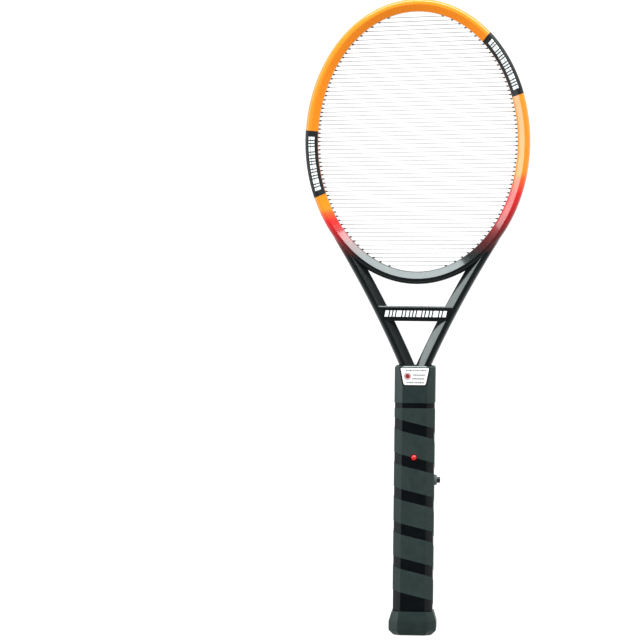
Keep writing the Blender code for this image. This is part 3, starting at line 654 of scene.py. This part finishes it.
def plate_rings(outline, low, high, edge):
    """Rings of a flat plate: outline(inset) gives its points, and its front edge is rounded."""
    profile = rounded([(0.0, low), (0.0, high), (edge * 2, high)], [0, edge, 0], 4)
    return [[(x, s, depth) for x, s in outline(inset)] for inset, depth in profile[:-1]]


def badge():
    """The gloss plate on the bridge with its row of dashes."""
    def outline(inset):
        x, low, high = BADGE_X - inset, BADGE_LOW + inset, BADGE_HIGH - inset
        return rounded([(-x, low), (x, low), (x, high), (-x, high)], [1.2 - inset] * 4, closed=True)
    plate = loft("badge_plate", plate_rings(outline, RIDGE - 0.5, RIDGE - 0.1, 0.15))
    finish(plate, "racket", BADGE_BLACK_AND_GAP_SHADE, ["bridge_badge"])
    middle, half, lean = (BADGE_LOW + BADGE_HIGH) / 2, 2.7, 0.5
    skins = []
    for start, end in dash_spans(-26.5, 26.5):
        dash = [(start - lean, middle - half), (end - lean, middle - half),
                (end + lean, middle + half), (start + lean, middle + half)]
        skins.append(prism_rings(dash, RIDGE - 0.10, RIDGE - 0.06))
    finish(lofts("badge_marks", skins), "racket", MARK_WHITE)


def wire_grid():
    """Two bare wires that run to and fro across the head, and a dark cone at each wire's end in the ring,
    painted shadow of the slot it passes through.
    """
    pitch = (TOP_ROW - BOTTOM_ROW) / (WIRE_ROWS - 1)
    slot_shadows = []
    for label, first, start in (("a", 0, -1), ("b", 1, 1)):
        points = []
        hand = start
        for row in range(first, WIRE_ROWS, 2):
            s = TOP_ROW - row * pitch
            for end in (hand, -hand):
                turn = row_end_point(TURNS[label], s, end)
                if label == "a":
                    points.append((*turn, 0.0))
                else:
                    level = (*row_end_point(2.7, s, end), 0.0)
                    lowered = (*row_end_point(3.7, s, end), -DROP_B)
                    back = (*turn, -DROP_B)
                    points += [back, lowered, level] if end == hand else [level, lowered, back]
                # A dark cone round the wire where it enters the ring paints the slot's shadow
                mouth = Vector((*row_end_point(-0.05, s, end), 0.0))
                inward = Vector((-end, -end * (FAN[0] + FAN[1] * (s - FAN_FROM)), 0.0)).normalized()
                stations = [(0.0, 0.78), (0.5, 0.74), (1.5, 0.58), (1.9, 0.42)]
                rims = [(reach, circle("x", (0, 0, 0), 0, radius, 10)) for reach, radius in stations]
                slot_shadows.append([[mouth + inward * reach + offset for offset in rim] for reach, rim in rims])
            hand = -hand
        wire = loft(f"wire_{label}", tube_rings(points, WIRE_RADIUS, 10))
        finish(wire, "racket", STEEL_WIRE, [f"grid_wire_{label}"], 60)
    finish(lofts("wire_slot_shadows", slot_shadows), "racket", SLOT_SHADOW_DARK)


# ---------------------------------------------------------------- screws

CROSS, SINGLE_SLOT = ((1.55, 0.32), (0.32, 1.55)), ((0.32, 3.0),)


def pan_screw(name, centre, axis, base, tip, node, body="racket", slots=CROSS, head=2.6, shank=1.1):
    """A pan-head screw from its head below base to its tip, with slots of these half sizes."""
    corners = [(base - 1.8, 0.05), (base - 1.8, head - 0.5), (base - 0.9, head), (base, head), (base, shank),
               (tip - 1.0, shank), (tip, 0.3)]
    profile = rounded(corners, [0, 0.5, 0.5, 0.1, 0.1, 0.3, 0], 4)
    made = turned(name, axis, centre, profile, 36)
    across = {"d": lambda a, b, c: (centre[0] + a, centre[1] + b, centre[2] + c),
              "s": lambda a, b, c: (centre[0] + a, centre[1] + c, centre[2] + b)}[axis]
    tools = []
    for turn, (wide, tall) in enumerate(slots):
        low, high = across(-wide, -tall, base - 3.0), across(wide, tall, base - 1.0)
        tools.append(block(f"slot_{turn}", low, high))
    boolean(made, tools)
    return finish(made, body, SCREW_STEEL, [node])


def screws():
    """The handle's and the bridge's screws, driven from the back, and the cap's own screw."""
    for number, (x, s) in HANDLE_SCREWS.items():
        pan_screw(f"case_screw_{number}", (x, s, 0), "d", -12.3, 8.2, f"handle_screw_{number}")
    for label, x in (("left", -BRIDGE_SCREW_X), ("right", BRIDGE_SCREW_X)):
        pan_screw(f"throat_screw_{label}", (x, (BRIDGE_LOW + BRIDGE_HIGH) / 2, 0), "d", -7.4, 5.8,
                  f"bridge_screw_{label}")
    pan_screw("captive_screw", (CAP_SCREW_AT, 0, CAP_SCREW_AT), "s", 6.4, 33.0, "cap_screw", "cap_screw",
              SINGLE_SLOT, 2.4, 1.0)


# ---------------------------------------------------------------- handle

def half_octagon(half_x, half_d, chamfer, radius):
    """The front half of an octagon with rounded corners, from left to right over the parting plane."""
    right = [(half_x - chamfer, half_d), (half_x, half_d - chamfer), (half_x, SEAM)]
    corners = [(-x, d) for x, d in reversed(right)] + right
    return rounded(corners, [0] + [radius] * 4 + [0], 4)


def inset_octagon(inset, radius=1.0, front=None):
    """The handle's half section with every facet moved in by inset, or the front one by its own amount."""
    front = inset if front is None else front
    chamfer = CHAMFER - (inset + front) * (1 - math.sqrt(0.5))
    return half_octagon(HANDLE_X - inset, HANDLE_D - front, chamfer, radius)


def handle_half(side):
    """Half of the handle: an octagonal shell, recessed for the tape, closed round the tang at its top."""
    node = "handle_front_shell" if side > 0 else "handle_rear_shell"
    corners = [(RECESS + 0.6, HANDLE_FOOT), (RECESS, HANDLE_FOOT), (RECESS, GROOVE_HIGH), (0.0, GROOVE_HIGH),
               (0.0, HANDLE_TOP), (4.5, HANDLE_TOP)]
    outer = rounded(corners, [0, 0.3, 0.15, 0.35, 1.9, 0], 5)
    bevel_depth, bevel_length = TOP_BEVEL
    stations = []
    for inset, s in outer[:-1]:
        bevel = bevel_depth * max(0.0, 1 - (HANDLE_TOP - s) / bevel_length)
        front = inset if s <= GROOVE_HIGH + 1 else bevel
        stations.append((inset_octagon(inset, 1.0, front), s))
    for half_x, half_d, s in ((15.2, 11.2, HANDLE_TOP), (14.8, 10.8, HANDLE_TOP - 0.4), (14.8, 10.8, 229.0)):
        stations.append((half_octagon(half_x, half_d, 1.2, 0.4), s))
    stations += [(inset_octagon(INNER_WALL, 0.8), s) for s in (229.0, HANDLE_FOOT)]
    count = len(stations[0][0])
    rings = [[(points[k][0], s, side * points[k][1]) for points, s in stations] for k in range(count)]
    shell = loft("handle_front" if side > 0 else "handle_rear", rings)
    if side > 0:
        pad = [(x, min(s, HANDLE_TOP - bevel_length)) for x, s in label_outline(-0.6)]
        boolean(shell, [loft("label_pad", prism_rings(pad, HANDLE_D - 3.1, HANDLE_D))], "UNION")
        lamp_hole = [(10, LAMP_RADIUS + 0.3), (20, LAMP_RADIUS + 0.3)]
        tools = [turned("lamp_hole", "d", (0, LAMP_AT, 0), lamp_hole),
                 loft("label_recess", prism_rings(label_outline(0.0), HANDLE_D - 0.5, 20))]
    else:
        posts = [turned(f"post_{n}", "d", (*at, 0), [(-16.4, 3.9), (-10.9, 3.9)])
                 for n, at in HANDLE_SCREWS.items()]
        boolean(shell, posts, "UNION")
        tools = [turned(f"well_{n}", "d", (*at, 0), [(-20, 2.9), (-12.0, 2.9)])
                 for n, at in HANDLE_SCREWS.items()]
    tools.append(turned("button_hole", "x", (0, BUTTON_AT, 0), [(10, 3.9), (20, 3.9)]))
    boolean(shell, tools)
    finish(shell, "racket", [HANDLE_GREY, HANDLE_BLACK, HANDLE_EDGE_HIGHLIGHT], [node], 30)
    collar = BUTT + (GROOVE_HIGH - 0.1) * MM
    bevel_foot = BUTT + (HANDLE_TOP - bevel_length) * MM
    # The top bevel's faces take the third, lighter material: painted highlight along the handle's top edge
    for polygon in shell.data.polygons:
        on_bevel = polygon.center.y > bevel_foot and polygon.normal.y > 0.4 and polygon.normal.z > 0.6
        polygon.material_index = 2 if on_bevel else int(polygon.center.y < collar)


def label_outline(inset):
    """The trapezoid label below the handle's top edge, with rounded corners."""
    low, high = LABEL_LOW + inset, LABEL_HIGH - inset
    top, foot = 12.9 - inset, 9.9 - inset
    corners = [(-foot, low), (foot, low), (top, high), (-top, high)]
    return rounded(corners, [2.0 - inset, 2.0 - inset, 0.8, 0.8], closed=True)


def label():
    """The white label in a thin black ring that paints the shade in the gap where it sits, with a plain red
    sign and four grey lines.
    """
    half_shade_ring, sunk, face = 0.5, HANDLE_D - 0.2, HANDLE_D + 0.16
    plate = plate_rings(lambda inset: label_outline(half_shade_ring + inset), sunk, face, 0.1)
    finish(loft("label_face", plate), "racket", LABEL_WHITE, ["label_plate"])
    highest, raised = HANDLE_TOP - TOP_BEVEL[1], HANDLE_D + 0.12
    # A black ring in the gap round the sunk label: painted shade
    loop = [(-half_shade_ring, sunk), (-half_shade_ring, raised), (half_shade_ring, raised), (half_shade_ring, sunk)]
    columns = [[(x, min(s, highest), depth) for x, s in label_outline(inset)] for inset, depth in loop]
    border = loft("label_gap_shade", [list(ring) for ring in zip(*columns)], closed=True)
    finish(border, "racket", BADGE_BLACK_AND_GAP_SHADE)
    sign_at = (-6.2, 224.3, face)
    ring_section = [(0.0, 2.5), (0.04, 2.5), (0.04, 3.0), (0.0, 3.0)]
    finish(turned_ring("label_sign_ring", "d", sign_at, ring_section), "racket", SIGN_RED)
    finish(turned("label_sign", "d", sign_at, [(0.0, 2.1), (0.04, 2.1)]), "racket", SIGN_RED)
    lines = []
    for low, high, s in ((-7.6, 9.9, 229.4), (-1.8, 9.1, 225.4), (-2.4, 8.3, 222.2), (-6.9, 7.7, 218.9)):
        for start, end in dash_spans(low, high):
            dash = [(start, s - 0.6), (end, s - 0.6), (end, s + 0.6), (start, s + 0.6)]
            lines.append(prism_rings(dash, face, face + 0.03))
    finish(lofts("label_lines", lines), "racket", LABEL_INK)


def grip_tape():
    """The band wound down round the handle, its corners rounded with the handle's."""
    def closed_section(inset, radius):
        half = inset_octagon(inset, radius)
        front = [Vector(p) for p in half[1:-1]]
        return front[7:] + [Vector((x, -d)) for x, d in reversed(front)] + front[:7]
    inner = closed_section(TAPE_INNER, 1.1)
    outer = closed_section(TAPE_INNER - TAPE_THICK, 1.6)
    count = len(inner)
    edges = [(inner[(k + 1) % count] - inner[k]).length for k in range(count)]
    around = sum(edges)
    slope = TAPE_PITCH / around
    top = GROOVE_LOW - 0.2
    end = TAPE_TURNS * around
    u = -around
    marks = []
    for _ in range(int(TAPE_TURNS) + 3):
        for k in range(count):
            pieces = 4 if edges[k] > 3 else 1
            for j in range(pieces):
                marks.append((u + edges[k] * j / pieces, k, j / pieces))
            u += edges[k]
    start = (TAPE_FIRST_LOW - top + 0.4) / slope
    rings = []
    for u, k, t in marks:
        if not start <= u <= end:
            continue
        low = TAPE_FIRST_LOW - slope * u
        high = min(top, low + TAPE_WIDTH)
        low = max(low, TAPE_FOOT)
        a, b = inner[k].lerp(inner[(k + 1) % count], t), outer[k].lerp(outer[(k + 1) % count], t)
        soft = min(0.25, (high - low) / 3)
        ring = [(a, low), (a.lerp(b, 0.5), low), (a.lerp(b, 0.85), low + soft * 0.3), (b, low + soft),
                (b, low + 1.2 * soft), (b, high - 1.2 * soft), (b, high - soft),
                (a.lerp(b, 0.85), high - soft * 0.3),
                (a.lerp(b, 0.5), high), (a, high)]
        rings.append([(point.x, s, point.y) for point, s in ring])
    band = loft("grip_band", rings)
    boolean(band, [turned("tape_button_hole", "x", (0, BUTTON_AT, 0), [(12, 4.85), (20, 4.85)]),
                   turned("tape_lamp_hole", "d", (0, LAMP_AT, 0), [(12, 2.9), (20, 2.9)])])
    finish(band, "racket", TAPE, ["grip_tape"])


# ---------------------------------------------------------------- battery end

def full_octagon(half_x, half_d, chamfer, radius):
    """An octagon with rounded corners."""
    quarter = [(half_x - chamfer, half_d), (half_x, half_d - chamfer)]
    right = quarter + [(x, -d) for x, d in reversed(quarter)]
    corners = right + [(-x, d) for x, d in reversed(right)]
    return rounded(corners, [radius] * 8, 4, closed=True)


def battery_cap():
    """The flared pommel with its spigot, spring well and screw bore, and the spring in it."""
    corners = [(0.0, 7.0), (0.0, 4.6), (1.0, 3.2), (4.2, 0.0), (12.0, 0.0), (CAP_TOP, 2.6), (CAP_TOP, 2.9)]
    flare = rounded(corners, [0, 0.4, 0.8, 2.5, 6.0, 0.2, 0], 5)
    rings = []
    for s, inset in flare:
        outline = full_octagon(CAP_X - inset, CAP_D - inset * 0.6, CAP_CHAMFER - inset * 0.5, 1.3)
        rings.append([(x, s, d) for x, d in outline])
    inset = INNER_WALL + 0.3
    for shrink, s in ((0.0, CAP_TOP), (0.0, SPIGOT_TOP - 0.4), (0.4, SPIGOT_TOP)):
        spigot = inset + shrink
        outline = full_octagon(HANDLE_X - spigot, HANDLE_D - spigot, CHAMFER - spigot * 0.586, 0.6)
        rings.append([(x, s, d) for x, d in outline])
    cap = loft("pommel", rings)
    corner = (CAP_SCREW_AT, 0, CAP_SCREW_AT)
    boolean(cap, [turned("well", "s", (0, 0, 0), [(12.0, 11.5), (30, 11.5)], 64),
                  turned("bore", "s", corner, [(-1, 2.75), (6.8, 2.75), (6.8, 1.35), (26, 1.35)]),
                  turned("notch", "s", corner, [(CAP_TOP + 0.02, 3.05), (30, 3.05)])])
    finish(cap, "battery_cap", CAP_GREY, ["battery_cap"], 30)
    coil = []
    turns, steps = 3.5, 32
    for k in range(int(turns * steps) + 1):
        t = k / (turns * steps)
        radius = 9.5 - 4.5 * t
        angle = 2 * math.pi * turns * t
        rise = 11.1 * smooth_step(0.0, 1.0, t) * 0.5 + 11.1 * t * 0.5
        coil.append((radius * math.cos(angle), 12.8 + rise, radius * math.sin(angle)))
    spring = loft("cap_spring", tube_rings(coil, 0.4, 12))
    finish(spring, "battery_cap", SPRING_STEEL, ["negative_spring"], 60)


def cells():
    """Two C cells: a sleeved can with a rolled shoulder, a steel cap and a dished foot."""
    bare = (0.62, 0.63, 0.64)
    corners = [(0.5, 0.05), (0.5, 9.6), (0.0, 10.2), (0.0, CELL_RADIUS - 0.5), (0.6, CELL_RADIUS - 0.12),
               (1.1, CELL_RADIUS), (46.9, CELL_RADIUS), (47.4, CELL_RADIUS - 0.15), (47.9, 12.2),
               (47.6, 11.4), (47.6, 3.6), (CELL_LENGTH, 3.3), (CELL_LENGTH, 0.05)]
    profile = rounded(corners, [0, 0.3, 0.3, 0.3, 0.2, 0.1, 0.1, 0.3, 0.2, 0.2, 0.3, 0.4, 0], 4)
    for number, node in enumerate(("battery_lower", "battery_upper")):
        foot = CELL_FOOT + number * (CELL_LENGTH + CELL_GAP)
        bands = [(foot, bare), (foot + 1.1, (0.10, 0.20, 0.26)), (foot + 33.0, (0.55, 0.36, 0.12)),
                 (foot + 46.9, bare), (foot + CELL_LENGTH, bare)]
        cell = turned(f"cell_{number + 1}", "s", (0, foot, 0), profile, 72)
        jacket = banded(f"cell_jacket_{number + 1}", bands, 0.28, 0.85)
        finish(cell, "racket", jacket, [node])


# ---------------------------------------------------------------- lamp and button

def lamp_and_button():
    """The red lamp's dome, the button's bezel and its plunger."""
    stem = [(5.9, 2.2), (11.3, 2.2), (11.8, LAMP_RADIUS)]
    dome = [(17.3 + LAMP_RADIUS * math.sin(a), LAMP_RADIUS * math.cos(a))
            for a in spread(0.0, math.radians(88), 14)]
    lamp = turned("lamp_dome", "d", (0, LAMP_AT, 0), stem + dome, 48)
    finish(lamp, "racket", LAMP, ["indicator_lamp"])
    corners = [(16.95, 4.55), (18.7, 4.55), (19.75, 4.0), (19.75, 3.0), (18.9, 3.0), (18.9, 3.9),
               (16.95, 3.9)]
    rim = rounded(corners, [0.1, 0.4, 0.35, 0.2, 0.1, 0.1, 0.1], 4, closed=True)
    ring = turned_ring("button_bezel", "x", (0, BUTTON_AT, 0), rim, 56)
    finish(ring, "racket", BEZEL_GREY, ["switch_bezel"])
    corners = [(8.6, 0.05), (8.6, 1.3), (10.6, 1.3), (10.6, 3.6), (12.1, 3.6), (12.1, BUTTON_RADIUS),
               (BUTTON_END, BUTTON_RADIUS), (BUTTON_END, 0.05)]
    profile = rounded(corners, [0, 0.2, 0.1, 0.2, 0.2, 0.1, 0.7, 0], 5)
    plunger = turned("plunger", "x", (0, BUTTON_AT, 0), profile, 48)
    finish(plunger, "push_button", BUTTON_BLACK, ["push_button"])


# ---------------------------------------------------------------- the CAD's own pieces

INSIDE = {
    "battery_bulkhead": SWITCH_BLACK, "positive_contact": BRASS, "contact_strip": BRASS,
    "switch_housing": SWITCH_BLACK, "switch_spring": SPRING_STEEL, "switch_contact": BRASS,
    "circuit_board": BOARD_GREEN, "transformer_core": FERRITE, "transformer_winding": COPPER,
    "hv_capacitor": CAPACITOR, "power_transistor": COMPONENT, "rectifier_diode_1": COMPONENT,
    "rectifier_diode_2": COMPONENT, "rectifier_diode_3": COMPONENT, "resistor_1": RESISTOR,
    "resistor_2": RESISTOR, "board_screw_1": SCREW_STEEL, "board_screw_2": SCREW_STEEL,
    "hv_lead_a": LEAD_RED, "hv_lead_b": LEAD_RED, "switch_lead_1": LEAD_RED, "switch_lead_2": LEAD_RED,
}


def inside_pieces():
    """Better materials on the CAD pieces that are shown as they are."""
    for node, material in INSIDE.items():
        mesh = frame["nodes"][node].data
        mesh.materials.clear()
        mesh.materials.append(material)


# ---------------------------------------------------------------- studio

VIEW_WIDTH = 0.5549          # metres across the picture, at the racket
CAMERA_DISTANCE = 4.0
CAMERA_YAW, CAMERA_PITCH, CAMERA_ROLL = 2.75, 1.75, 0.6
AIM = Vector((-0.0832, -0.0036, PARTING))


def softbox(name, place, size, radiance):
    """A rectangular light at place that faces the racket's head, not seen by the camera itself."""
    light = bpy.data.lights.new(name, "AREA")
    light.shape = "RECTANGLE"
    light.size, light.size_y = size
    light.energy = radiance * math.pi * size[0] * size[1]
    light.color = (0.90, 1.0, 1.0)
    obj = bpy.data.objects.new(name, light)
    bpy.context.scene.collection.objects.link(obj)
    target = Vector((place[0] * 0.05, place[1] if abs(place[0]) > abs(place[1]) else 0.1, place[2] - 0.1))
    facing = (target - Vector(place)).normalized()
    obj.matrix_world = Matrix.Translation(place) @ facing.to_track_quat("-Z", "Y").to_matrix().to_4x4()
    obj.visible_camera = False
    return obj


def overhead():
    """Soft light from straight above that glossy surfaces don't mirror."""
    light = bpy.data.lights.new("overhead", "SUN")
    light.energy = 2.4
    light.angle = math.radians(100)
    obj = bpy.data.objects.new("overhead", light)
    bpy.context.scene.collection.objects.link(obj)
    obj.visible_glossy = False


# The room's glow by the height of the direction looked in, from straight down (-1) to straight up (1)
ROOM_LIGHT = [(-1.0, 0.95), (-0.02, 0.95), (0.01, 0.12), (0.3, 0.12), (0.45, 0.35), (0.75, 0.35),
              (0.88, 0.03), (1.0, 0.03)]


def backdrop():
    """White behind everything for the camera, in a room bright below, dim around and dark above."""
    scene = bpy.context.scene
    scene.view_settings.view_transform = "Standard"
    made = bpy.data.worlds.new("studio")
    scene.world = made
    made.use_nodes = True
    tree = made.node_tree
    background = tree.nodes["Background"]
    background.inputs["Strength"].default_value = 1.0
    split = tree.nodes.new("ShaderNodeSeparateXYZ")
    tree.links.new(tree.nodes.new("ShaderNodeTexCoord").outputs["Generated"], split.inputs[0])
    ramp = tree.nodes.new("ShaderNodeValToRGB")
    elements = ramp.color_ramp.elements
    while len(elements) < len(ROOM_LIGHT):
        elements.new(0.5)
    for element, (height, share) in zip(elements, ROOM_LIGHT):
        element.position = (height + 1) / 2
        element.color = (share * 0.95, share * 0.98, share, 1)
    place = tree.nodes.new("ShaderNodeMapRange")
    place.inputs["From Min"].default_value = -1.0
    tree.links.new(split.outputs["Z"], place.inputs["Value"])
    tree.links.new(place.outputs[0], ramp.inputs["Fac"])
    tree.links.new(ramp.outputs["Color"], background.inputs["Color"])
    white = tree.nodes.new("ShaderNodeBackground")
    white.inputs["Color"].default_value = (1, 1, 1, 1)
    white.inputs["Strength"].default_value = 1.2
    mix = tree.nodes.new("ShaderNodeMixShader")
    path = tree.nodes.new("ShaderNodeLightPath")
    tree.links.new(path.outputs["Is Camera Ray"], mix.inputs["Fac"])
    tree.links.new(background.outputs[0], mix.inputs[1])
    tree.links.new(white.outputs[0], mix.inputs[2])
    tree.links.new(mix.outputs[0], tree.nodes["World Output"].inputs["Surface"])


def camera():
    """A long lens above the racket, a little to its right and towards its head."""
    data = bpy.data.cameras.new("camera")
    data.sensor_fit = "HORIZONTAL"
    data.angle = 2 * math.atan(VIEW_WIDTH / 2 / CAMERA_DISTANCE)
    obj = bpy.data.objects.new("camera", data)
    bpy.context.scene.collection.objects.link(obj)
    yaw, pitch, roll = (math.radians(value) for value in (CAMERA_YAW, CAMERA_PITCH, CAMERA_ROLL))
    back = Vector((math.sin(yaw), math.sin(pitch), math.cos(yaw) * math.cos(pitch))).normalized()
    up = Vector((-math.sin(roll), math.cos(roll), 0.0))
    right = up.cross(back).normalized()
    up = back.cross(right)
    rotation = Matrix((right, up, back)).transposed().to_4x4()
    obj.matrix_world = Matrix.Translation(AIM + back * CAMERA_DISTANCE) @ rotation
    bpy.context.scene.camera = obj


def studio():
    """Camera, backdrop, the overhead light and the softboxes on the left and beyond the head."""
    camera()
    backdrop()
    overhead()
    softbox("left_softbox", (-1.5, 0.31, 0.465), (1.46, 0.57), 3.9)
    softbox("top_softbox", (0.27, 1.7, 0.5), (3.08, 1.0), 6.5)


studio()
for face in (1, -1):
    frame_half(face)
    handle_half(face)
ring_labels()
badge()
wire_grid()
screws()
label()
grip_tape()
battery_cap()
cells()
lamp_and_button()
inside_pieces()
